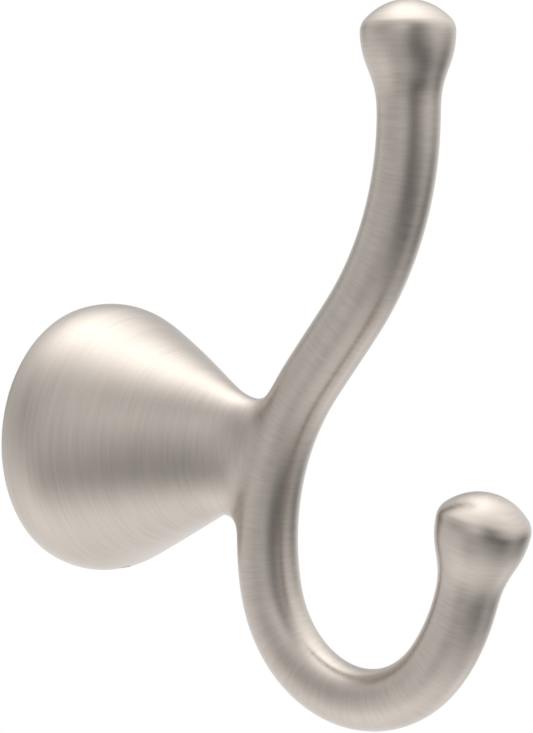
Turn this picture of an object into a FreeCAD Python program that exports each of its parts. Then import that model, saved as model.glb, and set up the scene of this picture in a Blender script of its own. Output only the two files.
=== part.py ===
"""Double robe hook on a flared wall post, held to the wall by a hidden bracket.

Frame: the origin is the centre of the post's back rim, on the wall. The wall lies
towards +Y, the hook stands out towards -Y, +Z is up, and X = 0 is the plane of symmetry.
Lengths are in millimetres and angles in degrees.
"""
import FreeCAD, Part
import math
import os
import re
import Sketcher

# Driving dimensions: name, value, what it sets
SIZES = [
    ("belly_dia", 51.6, "widest diameter of the flared post"),
    ("belly_place", 4.7, "distance of the widest place from the wall"),
    ("belly_round", 12.8, "radius of the rounding from the rim into the cone"),
    ("round_run", 4.0, "length of the cone that stays round"),
    ("neck_height", 19.0, "height of the oval neck where it enters the bar"),
    ("neck_width", 10.4, "width of the oval neck"),
    ("neck_round", 16.0, "radius of the sweep from the cone into the neck"),
    ("neck_lead", 1.35, "how far short of the bar's centreline that sweep ends"),
    ("neck_sink", 3.4, "how far the neck runs past the bar's centreline"),
    ("rim_edge", 0.4, "chamfer of the rim's two edges"),
    ("rim_wall", 3.0, "width of the rim on the wall"),
    ("draft_angle", 2.0, "draft of the hollow's first stretch"),
    ("mouth_run", 9.5, "depth of the hollow's first stretch"),
    ("hollow_depth", 24.0, "depth of the hollow"),
    ("hollow_corner", 1.5, "chamfer around the hollow's floor"),
    ("bar_dia", 11.36, "diameter of the hook's bar"),
    ("reach", 45.0, "least distance of the bar's centreline from the wall"),
    ("waist_drop", 16.3, "depth of that place below the post's axis"),
    ("waist_bend", 48.6, "centreline radius of the bar's waist"),
    ("arm_angle", 39.0, "lean of the upper arm where it runs straight"),
    ("arm_run", 14.4, "length of the upper arm's straight run"),
    ("arm_bend", 59.0, "centreline radius of the upper arm"),
    ("tip_angle", 1.1, "lean of the arm's upper end back towards the wall"),
    ("lead_angle", 11.4, "turn of the waist below its nearest place to the wall"),
    ("crook_bend", 22.1, "centreline radius of the lower crook"),
    ("crook_angle", 130.5, "turn of the lower crook"),
    ("rise_bend", 36.7, "centreline radius of the crook's rising end"),
    ("rise_angle", 22.9, "turn of the crook's rising end"),
    ("junction_round", 4.2, "rounding where the neck meets the bar"),
    ("knob_dia", 17.14, "diameter of the knobs"),
    ("knob_flare", 13.3, "length of the flare from the bar to the knob's widest place"),
    ("knob_crown", 5.85, "height of the knob above its widest place"),
    ("knob_edge", 3.6, "rounding at the knob's widest place"),
    ("plate_thick", 2.0, "thickness of the bracket's steel strip"),
    ("plate_width", 18.0, "width of the bracket"),
    ("wing_angle", 25.0, "slope of the bracket's wings to the wall's normal"),
    ("wing_depth", 8.5, "distance of the wings' edges from the wall"),
    ("wing_room", 5.23, "gap between the wings' edges and the hollow's mouth"),
    ("bend_inside", 1.0, "inside radius of the bracket's bends"),
    ("plate_corner", 1.5, "rounding of the wings' corners"),
    ("ledge_width", 14.0, "width of the ledge that hangs on the upper wing"),
    ("ledge_start", 1.4, "distance of the ledge from the wall"),
    ("ledge_depth", 9.5, "distance of the ledge's front from the wall"),
    ("seat_gap", 0.05, "gap between parts that bear on each other"),
    ("grub_dia", 4.0, "diameter of the set screw"),
    ("grub_length", 8.0, "length of the set screw"),
    ("grub_place", 7.5, "distance of the set screw's axis from the wall"),
    ("grub_edge", 0.4, "chamfer at the set screw's foot"),
    ("grub_key", 2.0, "width across the flats of its socket"),
    ("grub_socket", 2.4, "depth of its socket"),
    ("grub_point", 1.6, "diameter of the flat at its point"),
    ("thread_gap", 0.05, "gap around the set screw's thread"),
    ("boss_dia", 9.0, "diameter of the boss that holds the set screw"),
    ("boss_height", 1.6, "height of that boss inside the hollow"),
    ("boss_root", 0.9, "how far boss and ledge reach into the wall of the hollow"),
    ("screw_dia", 4.0, "diameter of the wall screws"),
    ("screw_length", 25.0, "length of the wall screws over their flat heads"),
    ("screw_tip", 5.0, "length of the wall screws' points"),
    ("screw_shift", 1.6, "how far the wall screws sit outside the middle of each half web"),
    ("head_dia", 7.4, "diameter of the wall screws' heads"),
    ("head_land", 0.3, "height of the head's cylindrical edge"),
    ("sink_angle", 90.0, "included angle of the countersunk heads"),
    ("hole_gap", 0.25, "gap around a wall screw's shank"),
    ("sink_gap", 0.05, "gap around a wall screw's head"),
    ("cross_size", 4.0, "span of the cross recess"),
    ("cross_slot", 0.9, "width of one slot of the cross recess"),
    ("cross_depth", 1.5, "depth of the cross recess"),
]
SHEET = "Sizes"
NAMES = [alias for alias, value, note in SIZES]

# How near two places are when they count as one
CLOSE = 0.001

# Formulas for places that follow from the sizes above. The post's outline is the belly's arc,
# the straight line tangent to it and to the neck's arc, and the neck's arc.
NECK_START = "(reach - neck_lead)"
NECK_END = "(reach + neck_sink)"
ARCS_APART = "(%s - belly_place)" % NECK_START
ARCS_RISE = "(neck_height / 2 + neck_round - belly_dia / 2 + belly_round)"
ARCS_WAY = "sqrt(%s ^ 2 + %s ^ 2)" % (ARCS_APART, ARCS_RISE)
SLOPE = "(asin((belly_round + neck_round) / %s) - atan(%s / %s))" % (
    ARCS_WAY, ARCS_RISE, ARCS_APART)
CONE_START = "(belly_place + belly_round * sin(%s))" % SLOPE
CONE_TOP = "(belly_dia / 2 - belly_round * (1 - cos(%s)))" % SLOPE
CONE_END = "(%s - neck_round * sin(%s))" % (NECK_START, SLOPE)
CONE_FOOT = "(neck_height / 2 + neck_round * (1 - cos(%s)))" % SLOPE
ROUND_END = "(%s + round_run)" % CONE_START
RIM = "(belly_dia / 2 - belly_round + sqrt(belly_round ^ 2 - belly_place ^ 2))"
MOUTH = "(%s - rim_wall)" % RIM

WING = "wing_angle * 1deg"
BEND_DEPTH = "((plate_thick + bend_inside) * (1 - sin(%s)))" % WING
BEND_RISE = "((plate_thick + bend_inside) * cos(%s))" % WING
WING_RISE = "((wing_depth - %s) * tan(%s))" % (BEND_DEPTH, WING)
WEB_HALF = "(%s - wing_room - %s - %s)" % (MOUTH, WING_RISE, BEND_RISE)
BEND_HEIGHT = "(%s + %s)" % (WEB_HALF, BEND_RISE)
SEAT_RISE = "(seat_gap / cos(%s))" % WING
SCREW_PLACE = "(%s / 2 + screw_shift)" % WEB_HALF


def wing_height(depth):
    """Height of the wing's outer face above the axis, at a distance from the wall."""
    return "(%s + (%s - %s) * tan(%s))" % (BEND_HEIGHT, depth, BEND_DEPTH, WING)


GRUB_TIP = "(0 - %s - %s)" % (wing_height("(grub_place + grub_point / 2)"), SEAT_RISE)
GRUB_FOOT = "(%s - grub_length)" % GRUB_TIP

doc = FreeCAD.newDocument("double_robe_hook")


def write_sheet():
    """Put every driving dimension in the sheet under its own alias."""
    page = doc.addObject("Spreadsheet::Sheet", SHEET)
    for row, (alias, value, note) in enumerate(SIZES, start=1):
        page.set("A%d" % row, alias)
        page.set("B%d" % row, str(value))
        page.setAlias("B%d" % row, alias)
        page.set("C%d" % row, note)
    doc.recompute()
    return page


sheet = write_sheet()


def bound(text):
    """A formula's text with each size name pointed at its cell."""
    def cell(match):
        word = match.group()
        return SHEET + "." + word if word in NAMES else word
    return re.sub(r"[a-z]+(?:_[a-z]+)*", cell, text)


def value(text):
    """What a formula gives with the sizes as they are; an angle comes out in degrees."""
    result = sheet.evalExpression(bound(text))
    return float(getattr(result, "Value", result))


def spot(x_text, y_text):
    return FreeCAD.Vector(value(x_text), value(y_text), 0)


def polar(centre, radius, angle):
    """Point at an angle, in degrees, on a circle in a sketch."""
    turn = math.radians(angle)
    return centre + FreeCAD.Vector(radius * math.cos(turn), radius * math.sin(turn), 0)


def new_body(label):
    body = doc.addObject("PartDesign::Body", label)
    body.Label = label
    return body


def new_sketch(body, role, name, **offset):
    """A sketch on an origin plane of its body. x, y and z are formulas that move it, turn and
    tilt are formulas that rotate it about its normal or about its x axis."""
    plane = [item for item in body.Origin.OriginFeatures if item.Role == role][0]
    sketch = body.newObject("Sketcher::SketchObject", name)
    sketch.AttachmentSupport = [(plane, "")]
    sketch.MapMode = "FlatFace"
    for axis in "xyz":
        if axis in offset:
            sketch.setExpression("AttachmentOffset.Base." + axis, bound(offset[axis]))
    for way, axis in (("turn", FreeCAD.Vector(0, 0, 1)), ("tilt", FreeCAD.Vector(1, 0, 0))):
        if way in offset:
            spin = FreeCAD.Rotation(axis, value(offset[way]))
            sketch.AttachmentOffset = FreeCAD.Placement(sketch.AttachmentOffset.Base, spin)
            sketch.setExpression("AttachmentOffset.Rotation.Angle", bound(offset[way]))
    return sketch


def drive(sketch, kind, *what, by):
    """Add a constraint and bind it to a formula."""
    start = math.radians(value(by)) if kind == "Angle" else value(by)
    index = sketch.addConstraint(Sketcher.Constraint(kind, *what, start))
    sketch.setExpression("Constraints[%d]" % index, bound(by))
    return index


def pin(sketch, item, end, x_text, y_text):
    """Fix one point of a sketch by its two coordinates."""
    for kind, axis, text in (("DistanceX", -2, x_text), ("DistanceY", -1, y_text)):
        if text == "0":
            sketch.addConstraint(Sketcher.Constraint("PointOnObject", item, end, axis))
        else:
            drive(sketch, kind, -1, 1, item, end, by=text)


def arc_between(first, last, radius, side):
    """Arc of a radius between two points, bulging left (1) or right (-1) of the way."""
    way = last - first
    rise = math.sqrt(max(radius ** 2 - way.Length ** 2 / 4, 0))
    centre = (first + last) * 0.5 + FreeCAD.Vector(way.y, -way.x, 0).normalize() * side * rise
    begin, finish = (last, first) if side > 0 else (first, last)
    angles = [math.atan2(mark.y - centre.y, mark.x - centre.x) for mark in (begin, finish)]
    return Part.ArcOfCircle(Part.Circle(centre, FreeCAD.Vector(0, 0, 1), radius), *angles)


def outline(sketch, corners, arcs=None):
    """Closed outline through corners given by formulas. arcs maps a side's number to its
    radius and the hand on which it bulges; every other side is straight."""
    arcs = arcs or {}
    spots = [spot(x_text, y_text) for x_text, y_text in corners]
    ends = []
    for index, first in enumerate(spots):
        last = spots[(index + 1) % len(spots)]
        radius, side = arcs.get(index, (None, 0))
        if side:
            shape = arc_between(first, last, value(radius), side)
        else:
            shape = Part.LineSegment(first, last)
        item = sketch.addGeometry(shape, False)
        ends.append((item, 2, 1) if side > 0 else (item, 1, 2))
    for index, (item, begin, finish) in enumerate(ends):
        before, unused, end_before = ends[index - 1]
        sketch.addConstraint(Sketcher.Constraint("Coincident", before, end_before, item, begin))
        pin(sketch, item, begin, *corners[index])
        if index in arcs:
            drive(sketch, "Radius", item, by=arcs[index][0])
    return sketch


def ring(sketch, radius, x_text="0", y_text="0"):
    """A full circle bound to formulas."""
    centre = spot(x_text, y_text)
    circle = Part.Circle(centre, FreeCAD.Vector(0, 0, 1), value(radius))
    item = sketch.addGeometry(circle, False)
    if (x_text, y_text) == ("0", "0"):
        sketch.addConstraint(Sketcher.Constraint("Coincident", item, 3, -1, 1))
    else:
        pin(sketch, item, 3, x_text, y_text)
    drive(sketch, "Radius", item, by=radius)
    return sketch


def oval(sketch, long_half, short_half):
    """An ellipse about the sketch's origin, its long axis along x."""
    reach_x = FreeCAD.Vector(value(long_half), 0, 0)
    reach_y = FreeCAD.Vector(0, value(short_half), 0)
    item = sketch.addGeometry(Part.Ellipse(reach_x, reach_y, FreeCAD.Vector(0, 0, 0)), False)
    sketch.exposeInternalGeometry(item)
    sketch.addConstraint(Sketcher.Constraint("Coincident", item, 3, -1, 1))
    sketch.addConstraint(Sketcher.Constraint("Horizontal", item + 1))
    drive(sketch, "Distance", item + 1, by="2 * (%s)" % long_half)
    drive(sketch, "Distance", item + 2, by="2 * (%s)" % short_half)
    return sketch


def feature(body, kind, name, **settings):
    """Add a feature to a body, set its properties and make it the tip."""
    item = body.newObject("PartDesign::" + kind, name)
    for key, setting in settings.items():
        setattr(item, key, setting)
    body.Tip = item
    doc.recompute()
    return item


def turned(body, kind, name, sketch, axis):
    """Revolution or groove of a full turn about one axis of its sketch."""
    item = body.newObject("PartDesign::" + kind, name)
    item.Profile = sketch
    item.ReferenceAxis = (sketch, [axis])
    item.Angle = 360.0
    body.Tip = item
    doc.recompute()
    return item


def dressed(body, kind, name, base, edges, size):
    """Fillet or chamfer on the edges that a test picks, bound to a size."""
    picked = ["Edge%d" % (index + 1) for index, edge in enumerate(base.Shape.Edges) if edges(edge)]
    if not picked:
        raise RuntimeError("no edges for " + name)
    item = body.newObject("PartDesign::" + kind, name)
    item.Base = (base, picked)
    item.setExpression("Radius" if kind == "Fillet" else "Size", bound(size))
    body.Tip = item
    doc.recompute()
    return item


def changed(before, after, grows):
    """Stop if a feature that adds or removes material did not."""
    gain = after.Shape.Volume - before.Shape.Volume
    if abs(gain) < 0.01 or (gain > 0) != grows:
        raise RuntimeError("%s changes the volume by %.2f" % (after.Name, gain))


# Flared post: round at the wall, a straight cone, then an oval neck that enters the bar

def cone_radius(depth):
    return "(%s - (%s - %s) * tan(%s))" % (CONE_TOP, depth, CONE_START, SLOPE)


def neck_radius(depth):
    drop = "sqrt(neck_round ^ 2 - (%s - %s) ^ 2)" % (NECK_START, depth)
    return "(neck_height / 2 + neck_round - %s)" % drop


def narrowing(depth):
    """Share of the narrowing done at a depth, easing from 0 where the round part ends to 1."""
    share = "((%s - %s) / (%s - %s))" % (depth, ROUND_END, NECK_START, ROUND_END)
    return "(%s ^ 2 * (3 - 2 * %s))" % (share, share)


def between(first, last, share):
    return "(%s + (%s - %s) * %s)" % (first, last, first, share)


def oval_section(body, name, depth, half_height):
    """Cross-section of the neck; it is turned so that every section starts at the top."""
    sketch = new_sketch(body, "XZ_Plane", name, z=depth, turn="90")
    slim = "(neck_height / 2 - neck_width / 2) * %s" % narrowing(depth)
    return oval(sketch, half_height, "%s - %s" % (half_height, slim))


def build_post(body):
    """The round flare is turned, the neck is lofted from the flare's end into the bar."""
    sketch = new_sketch(body, "YZ_Plane", "FlareProfile")
    end = "0 - %s" % ROUND_END
    outline(sketch, [
        ("0", "0"),
        ("0", RIM),
        ("0 - %s" % CONE_START, CONE_TOP),
        (end, cone_radius(ROUND_END)),
        (end, "0"),
    ], {1: ("belly_round", -1)})
    flare = turned(body, "Revolution", "Flare", sketch, "H_Axis")
    first = new_sketch(body, "XZ_Plane", "RoundSection", z=ROUND_END, turn="90")
    sections = [ring(first, cone_radius(ROUND_END))]
    for number, share in enumerate((0.33, 0.67), start=1):
        depth = between(ROUND_END, CONE_END, share)
        sections.append(oval_section(body, "ConeSection%d" % number, depth, cone_radius(depth)))
    sections.append(oval_section(body, "ConeEnd", CONE_END, CONE_FOOT))
    depth = between(CONE_END, NECK_START, 0.5)
    sections.append(oval_section(body, "SweepSection", depth, neck_radius(depth)))
    for name, depth in (("NeckSection", NECK_START), ("NeckEnd", NECK_END)):
        sketch = new_sketch(body, "XZ_Plane", name, z=depth, turn="90")
        sections.append(oval(sketch, "neck_height / 2", "neck_width / 2"))
    neck = feature(body, "AdditiveLoft", "Neck", Profile=sections[0], Sections=sections[1:])
    changed(flare, neck, True)
    return neck


def lay_path(body):
    """Centreline of the bar in the plane of symmetry, as tangent arcs and one straight run."""
    path = new_sketch(body, "YZ_Plane", "BarPath")
    lean = value("arm_angle")
    lead = value("lead_angle")
    waist = spot("0 - reach - waist_bend", "0 - waist_drop")
    high = polar(waist, value("waist_bend"), lean)
    low = polar(waist, value("waist_bend"), -lead)
    top = high + polar(FreeCAD.Vector(), value("arm_run"), lean + 90)
    arm = polar(top, value("arm_bend"), lean)
    crook = polar(low, -value("crook_bend"), -lead)
    turn = -lead - value("crook_angle")
    rise = polar(crook, value("crook_bend") - value("rise_bend"), turn)
    arcs = [
        (arm, "arm_bend", 180 - value("tip_angle"), 180 + lean, "arm_angle + tip_angle"),
        (waist, "waist_bend", -lead, lean, "arm_angle + lead_angle"),
        (crook, "crook_bend", turn, -lead, "crook_angle"),
        (rise, "rise_bend", turn - value("rise_angle"), turn, "rise_angle"),
    ]
    for centre, radius, first, last, swing in arcs:
        circle = Part.Circle(centre, FreeCAD.Vector(0, 0, 1), value(radius))
        arc = Part.ArcOfCircle(circle, math.radians(first), math.radians(last))
        item = path.addGeometry(arc, False)
        drive(path, "Radius", item, by=radius)
        drive(path, "Angle", item, by="(%s) * 1deg" % swing)
    run = path.addGeometry(Part.LineSegment(top, high), False)
    drive(path, "Distance", run, by="arm_run")
    joints = [(0, 2, run, 1), (run, 2, 1, 2), (1, 1, 2, 2), (2, 1, 3, 2)]
    for joint in joints:
        path.addConstraint(Sketcher.Constraint("Tangent", *joint))
    drive(path, "DistanceY", 0, 3, 0, 1, by="arm_bend * sin(tip_angle * 1deg)")
    pin(path, 1, 3, "0 - reach - waist_bend", "0 - waist_drop")
    for name, item, end in (("upper", 0, 1), ("lower", 3, 1)):
        place = path.getPoint(item, end)
        for kind, axis in (("DistanceX", "x"), ("DistanceY", "y")):
            mark = Sketcher.Constraint(kind, -1, 1, item, end, getattr(place, axis))
            index = path.addConstraint(mark)
            path.setDriving(index, False)
            path.renameConstraint(index, name + axis.upper())
    doc.recompute()
    return path


def knob(body, name, end, turn):
    """Mushroom knob: a flare of two equal arcs, a rounded edge and a domed crown."""
    sketch = new_sketch(body, "YZ_Plane", name + "Profile",
                        x="BarPath.Constraints.%sX" % end,
                        y="BarPath.Constraints.%sY" % end, turn=turn)
    swell = "(knob_dia / 2 - bar_dia / 2)"
    swing = "(2 * atan(%s / knob_flare))" % swell
    flare = "(knob_flare / (2 * sin(%s)))" % swing
    edge = "(knob_dia / 2 - knob_edge)"
    crown = "((%s ^ 2 + knob_crown ^ 2 - knob_edge ^ 2) / (2 * (knob_crown - knob_edge)))" % edge
    lift = "atan((%s - knob_crown) / %s)" % (crown, edge)
    corners = [
        ("0", "0"),
        ("bar_dia / 2", "0"),
        ("bar_dia / 2 + %s / 2" % swell, "knob_flare / 2"),
        ("knob_dia / 2", "knob_flare"),
        ("%s + knob_edge * cos(%s)" % (edge, lift), "knob_flare + knob_edge * sin(%s)" % lift),
        ("0", "knob_flare + knob_crown"),
    ]
    arcs = {1: (flare, 1), 2: (flare, -1), 3: ("knob_edge", -1), 4: (crown, -1)}
    outline(sketch, corners, arcs)
    return turned(body, "Revolution", name, sketch, "V_Axis")


def build_hook():
    """The casting: post, bar, two knobs, and the hollow that takes the bracket."""
    body = new_body("hook_body")
    post = build_post(body)
    path = lay_path(body)
    start = new_sketch(body, "XY_Plane", "BarSection", y="BarPath.Constraints.upperX",
                       z="BarPath.Constraints.upperY", tilt="0 - tip_angle")
    ring(start, "bar_dia / 2")
    bar = feature(body, "AdditivePipe", "Bar", Profile=start, Spine=(path, []))
    changed(post, bar, True)
    joint = dressed(body, "Fillet", "Junction", bar, at_junction, "junction_round")
    changed(bar, joint, True)
    upper = knob(body, "UpperKnob", "upper", "0 - tip_angle")
    lower = knob(body, "LowerKnob", "lower", "180 - lead_angle - crook_angle - rise_angle")
    changed(joint, upper, True)
    changed(upper, lower, True)

    shoulder = "(%s - mouth_run * tan(draft_angle * 1deg))" % MOUTH
    floor = "(%s - (hollow_depth - mouth_run) * tan(%s))" % (shoulder, SLOPE)
    sketch = new_sketch(body, "YZ_Plane", "HollowProfile")
    outline(sketch, [
        ("0", "0"),
        ("0", MOUTH),
        ("0 - mouth_run", shoulder),
        ("hollow_corner - hollow_depth", "%s + hollow_corner * tan(%s)" % (floor, SLOPE)),
        ("0 - hollow_depth", "%s - hollow_corner" % floor),
        ("0 - hollow_depth", "0"),
    ])
    hollow = turned(body, "Groove", "Hollow", sketch, "H_Axis")
    changed(lower, hollow, False)

    sketch = new_sketch(body, "YZ_Plane", "LedgeProfile")
    root = "%s + boss_root" % MOUTH
    outline(sketch, [
        ("0 - ledge_start", "%s + %s" % (wing_height("ledge_start"), SEAT_RISE)),
        ("0 - ledge_start", root),
        ("0 - ledge_depth", root),
        ("0 - ledge_depth", "%s + %s" % (wing_height("ledge_depth"), SEAT_RISE)),
    ])
    ledge = feature(body, "Pad", "Ledge", Profile=sketch, Midplane=True)
    ledge.setExpression("Length", bound("ledge_width"))
    sketch = new_sketch(body, "XY_Plane", "BossCircle", z="boss_height - %s" % MOUTH)
    ring(sketch, "boss_dia / 2", "0", "0 - grub_place")
    boss = feature(body, "Pad", "Boss", Profile=sketch, Reversed=True)
    boss.setExpression("Length", bound("boss_height + boss_root"))
    sketch = new_sketch(body, "XY_Plane", "GrubHoleCircle", z="0 - %s" % WEB_HALF)
    ring(sketch, "grub_dia / 2 + thread_gap", "0", "0 - grub_place")
    doc.recompute()
    hole = feature(body, "Pocket", "GrubHole", Profile=sketch, Type="Length")
    hole.setExpression("Length", bound("belly_dia / 2"))
    doc.recompute()
    changed(boss, hole, False)

    dressed(body, "Chamfer", "RimEdges", hole, on_wall, "rim_edge")
    return body


def at_junction(edge):
    """The closed edge where the neck meets the bar."""
    box = edge.BoundBox
    near = value("reach") - 1.5 * value("bar_dia")
    far = value("reach") + 1.5 * value("bar_dia")
    inside = -far < box.YMin and box.YMax < -near
    return inside and box.ZMax < value("neck_height") and box.ZMin > -value("neck_height")


def on_wall(edge):
    """Whether an edge lies in the wall's plane."""
    return abs(edge.BoundBox.YMin) < CLOSE and abs(edge.BoundBox.YMax) < CLOSE


def build_bracket():
    """Steel strip: a flat web on the wall, two wings bent away from it, two countersunk holes."""
    body = new_body("wall_bracket")
    sketch = new_sketch(body, "YZ_Plane", "StripProfile")
    depth, height = BEND_DEPTH, BEND_HEIGHT
    inner_depth = "(plate_thick + bend_inside * (1 - sin(%s)))" % WING
    inner_height = "(%s + bend_inside * cos(%s))" % (WEB_HALF, WING)
    tip_depth = "(wing_depth + plate_thick * sin(%s))" % WING
    tip_height = "(%s - plate_thick * cos(%s))" % (wing_height("wing_depth"), WING)
    half = [
        ("0", WEB_HALF),
        ("0 - " + depth, height),
        ("0 - wing_depth", wing_height("wing_depth")),
        ("0 - " + tip_depth, tip_height),
        ("0 - " + inner_depth, inner_height),
        ("0 - plate_thick", WEB_HALF),
    ]
    lower = [(y_text, "0 - " + z_text) for y_text, z_text in reversed(half)]
    outer, inner = "plate_thick + bend_inside", "bend_inside"
    arcs = {0: (outer, -1), 4: (inner, 1), 6: (inner, 1), 10: (outer, -1)}
    outline(sketch, half + lower, arcs)
    strip = feature(body, "Pad", "Strip", Profile=sketch, Midplane=True)
    strip.setExpression("Length", bound("plate_width"))
    doc.recompute()
    corners = dressed(body, "Fillet", "WingCorners", strip, wing_corner, "plate_corner")

    sink = "tan(sink_angle / 2 * 1deg)"
    wide = "(head_dia / 2 + sink_gap)"
    narrow = "(screw_dia / 2 + hole_gap)"
    sketch = new_sketch(body, "YZ_Plane", "HoleProfile", y=SCREW_PLACE)
    land = "(0 - plate_thick + head_land)"
    outline(sketch, [
        ("0 - 2 * plate_thick", "0"),
        ("0 - 2 * plate_thick", wide),
        (land, wide),
        ("%s + (%s - %s) / %s" % (land, wide, narrow, sink), narrow),
        ("plate_thick", narrow),
        ("plate_thick", "0"),
    ])
    hole = turned(body, "Groove", "ScrewHole", sketch, "H_Axis")
    changed(corners, hole, False)
    both = mirrored(body, "ScrewHoles", [hole])
    changed(hole, both, False)
    return body


def wing_corner(edge):
    """The short edges through the strip at the wings' four corners."""
    box = edge.BoundBox
    across = abs(abs(box.XMin) - value("plate_width") / 2) < CLOSE and box.XLength < CLOSE
    return across and box.YMax < -value("wing_depth") + CLOSE


def mirrored(body, name, features):
    """Repeat features below the plane of the post's axis."""
    item = body.newObject("PartDesign::Mirrored", name)
    item.Originals = features
    plane = [part for part in body.Origin.OriginFeatures if part.Role == "XY_Plane"][0]
    item.MirrorPlane = (plane, [""])
    body.Tip = item
    doc.recompute()
    return item


def build_wall_screws():
    """Two countersunk screws with cross recesses, above and below the post's axis."""
    body = new_body("wall_screws")
    face = "(0 - plate_thick)"
    shank = "(screw_dia / 2)"
    end = "(screw_length - plate_thick)"
    cone = "((head_dia / 2 - %s) / tan(sink_angle / 2 * 1deg))" % shank
    sketch = new_sketch(body, "YZ_Plane", "ScrewProfile", y=SCREW_PLACE)
    outline(sketch, [
        (face, "0"),
        (face, "head_dia / 2"),
        ("%s + head_land" % face, "head_dia / 2"),
        ("%s + head_land + %s" % (face, cone), shank),
        ("%s - screw_tip" % end, shank),
        (end, "0"),
    ])
    turned_screw = turned(body, "Revolution", "Screw", sketch, "H_Axis")
    sketch = new_sketch(body, "XZ_Plane", "CrossProfile", y=SCREW_PLACE, z="plate_thick")
    span, slot = "cross_size / 2", "cross_slot / 2"
    corners = []
    for along, across in ((1, 0), (0, 1), (-1, 0), (0, -1)):
        for side in (-1, 1):
            x_text = "%d * %s - %d * %s" % (along, span, across * side, slot)
            y_text = "%d * %s + %d * %s" % (across, span, along * side, slot)
            corners.append((x_text, y_text))
        x_text = "%d * %s" % (along - across, slot)
        y_text = "%d * %s" % (along + across, slot)
        corners.append((x_text, y_text))
    outline(sketch, corners)
    doc.recompute()
    cross = feature(body, "Pocket", "Cross", Profile=sketch, Type="Length")
    cross.setExpression("Length", bound("cross_depth"))
    doc.recompute()
    changed(turned_screw, cross, False)
    both = mirrored(body, "Screws", [turned_screw, cross])
    changed(cross, both, True)
    return body


def build_set_screw():
    """Headless screw under the post; its blunt cone bears on the slope of the lower wing."""
    body = new_body("set_screw")
    sketch = new_sketch(body, "YZ_Plane", "GrubProfile", x="0 - grub_place")
    radius = "(grub_dia / 2)"
    cone = "((grub_dia / 2 - grub_point / 2) * tan(%s))" % WING
    outline(sketch, [
        ("0", GRUB_FOOT),
        ("%s - grub_edge" % radius, GRUB_FOOT),
        (radius, "%s + grub_edge" % GRUB_FOOT),
        (radius, "%s - %s" % (GRUB_TIP, cone)),
        ("grub_point / 2", GRUB_TIP),
        ("0", GRUB_TIP),
    ])
    grub = turned(body, "Revolution", "Grub", sketch, "V_Axis")
    sketch = new_sketch(body, "XY_Plane", "KeyProfile", y="0 - grub_place", z=GRUB_FOOT)
    reach = "grub_key / sqrt(3)"
    outline(sketch, [("%s * cos(%ddeg)" % (reach, turn), "%s * sin(%ddeg)" % (reach, turn))
                     for turn in range(0, 360, 60)])
    doc.recompute()
    socket = feature(body, "Pocket", "KeySocket", Profile=sketch, Type="Length", Reversed=True)
    socket.setExpression("Length", bound("grub_socket"))
    doc.recompute()
    changed(grub, socket, False)
    return body


def check_model(bodies):
    """Stop if an object of the document failed or a piece has no sound shape."""
    for item in doc.Objects:
        if {"Invalid", "Error"} & set(item.State):
            raise RuntimeError("%s is in state %s" % (item.Name, item.State))
    for body in bodies:
        shape = body.Shape
        if shape.isNull() or not shape.isValid() or not shape.Solids:
            raise RuntimeError(body.Label + " has no sound shape")


def main():
    bodies = [build_hook(), build_bracket(), build_set_screw(), build_wall_screws()]
    doc.recompute()
    check_model(bodies)
    os.makedirs("parts", exist_ok=True)
    for body in bodies:
        body.Shape.exportStep(os.path.join("parts", body.Label + ".step"))
        print("%s: %d solids, %.0f cubic mm" % (body.Label, len(body.Shape.Solids), body.Shape.Volume))


main()
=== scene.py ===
"""Looks of a double robe hook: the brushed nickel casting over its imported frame, and the studio.

The frame is the hook's own: metres, the wall at +Y, +Z up, X = 0 the plane of symmetry.
"""
import math

import bmesh
import bpy
from bpy.props import FloatProperty, PointerProperty, StringProperty
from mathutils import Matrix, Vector


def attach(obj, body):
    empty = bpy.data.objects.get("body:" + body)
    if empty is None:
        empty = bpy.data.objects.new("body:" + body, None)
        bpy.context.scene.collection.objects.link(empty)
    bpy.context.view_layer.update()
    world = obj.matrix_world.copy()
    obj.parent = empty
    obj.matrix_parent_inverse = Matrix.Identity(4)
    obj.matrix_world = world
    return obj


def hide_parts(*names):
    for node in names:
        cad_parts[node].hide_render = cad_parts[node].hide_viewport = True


bl_info = {
    "name": "Double Robe Hook",
    "version": (1, 0, 0),
    "blender": (4, 5, 0),
    "location": "View3D > Sidebar > Robe Hook",
    "description": "Models the brushed casting of a double robe hook, dresses its bracket and "
                   "screws, and sets up a plain studio",
    "category": "Object",
}

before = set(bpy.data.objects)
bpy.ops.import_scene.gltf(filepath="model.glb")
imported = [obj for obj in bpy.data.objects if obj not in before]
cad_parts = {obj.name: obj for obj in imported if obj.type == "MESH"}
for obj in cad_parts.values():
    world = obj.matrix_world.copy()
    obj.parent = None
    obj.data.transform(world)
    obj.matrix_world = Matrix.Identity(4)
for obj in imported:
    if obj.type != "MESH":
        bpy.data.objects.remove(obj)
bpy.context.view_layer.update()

MM = 0.001
# Two places nearer than this are one
CLOSE = 0.01 * MM
# Faces that meet at less than this angle shade as one surface
SMOOTH_ANGLE = math.radians(35)


# Sizes and colours

def length(default, name, description):
    """Size in millimetres, shown in the scene's unit."""
    return FloatProperty(name=name, description=description, default=default * MM,
                         subtype="DISTANCE", unit="LENGTH", precision=5)


def angle(default, name, description):
    """Angle in degrees."""
    return FloatProperty(name=name, description=description, default=math.radians(default),
                         subtype="ANGLE", unit="ROTATION")


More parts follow.
